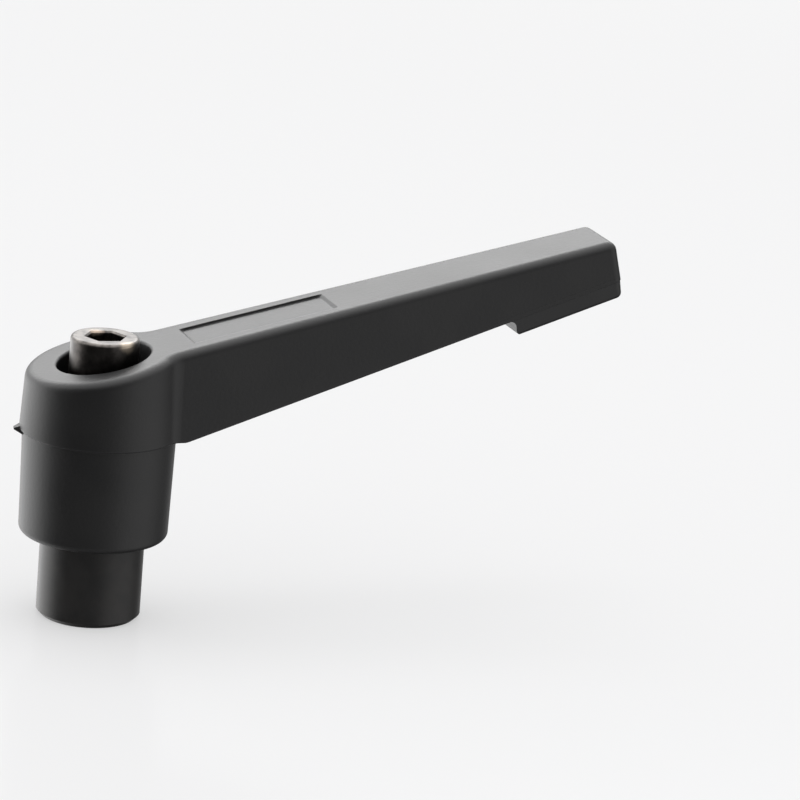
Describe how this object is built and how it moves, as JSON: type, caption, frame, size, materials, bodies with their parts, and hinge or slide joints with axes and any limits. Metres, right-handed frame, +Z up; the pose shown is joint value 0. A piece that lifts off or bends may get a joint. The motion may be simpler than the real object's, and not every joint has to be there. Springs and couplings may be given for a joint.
{
  "type": "adjustable clamping lever",
  "caption": "Die-cast clamping lever on a threaded insert: the arm lifts off its toothed coupling against a spring and is set to a new angle before tightening.",
  "frame": {"origin": "centre of the insert's bottom face, at the mouth of the mounting thread", "axes": "+Z up along the insert's axis, out of the clamped machine part; +X along the arm, toward its tip; +Y completes the right-handed frame"},
  "size_m": [0.0905, 0.0232, 0.056],
  "materials": {
    "black_powder_coat": "satin",
    "black_oxide_steel": "satin",
    "dark_steel": "satin",
    "spring_steel": "satin"
  },
  "bodies": {
    "insert": {"threaded_insert": "black_oxide_steel", "retaining_screw": "dark_steel"},
    "spring": {"return_spring": "spring_steel"},
    "lever": {"lever": "black_powder_coat"}
  },
  "joints": [
    {"name": "index_turn", "type": "hinge", "parent": "insert", "child": "spring", "pos_m": [0, 0, 0], "axis": [0, 0, 1], "continuous": true},
    {"name": "lift", "type": "slide", "parent": "spring", "child": "lever", "axis": [0, 0, 1], "range_m": [0, 0.0048], "stiffness_N_per_m": 2700, "springref_m": -0.003, "deforming": ["return_spring"]}
  ]
}
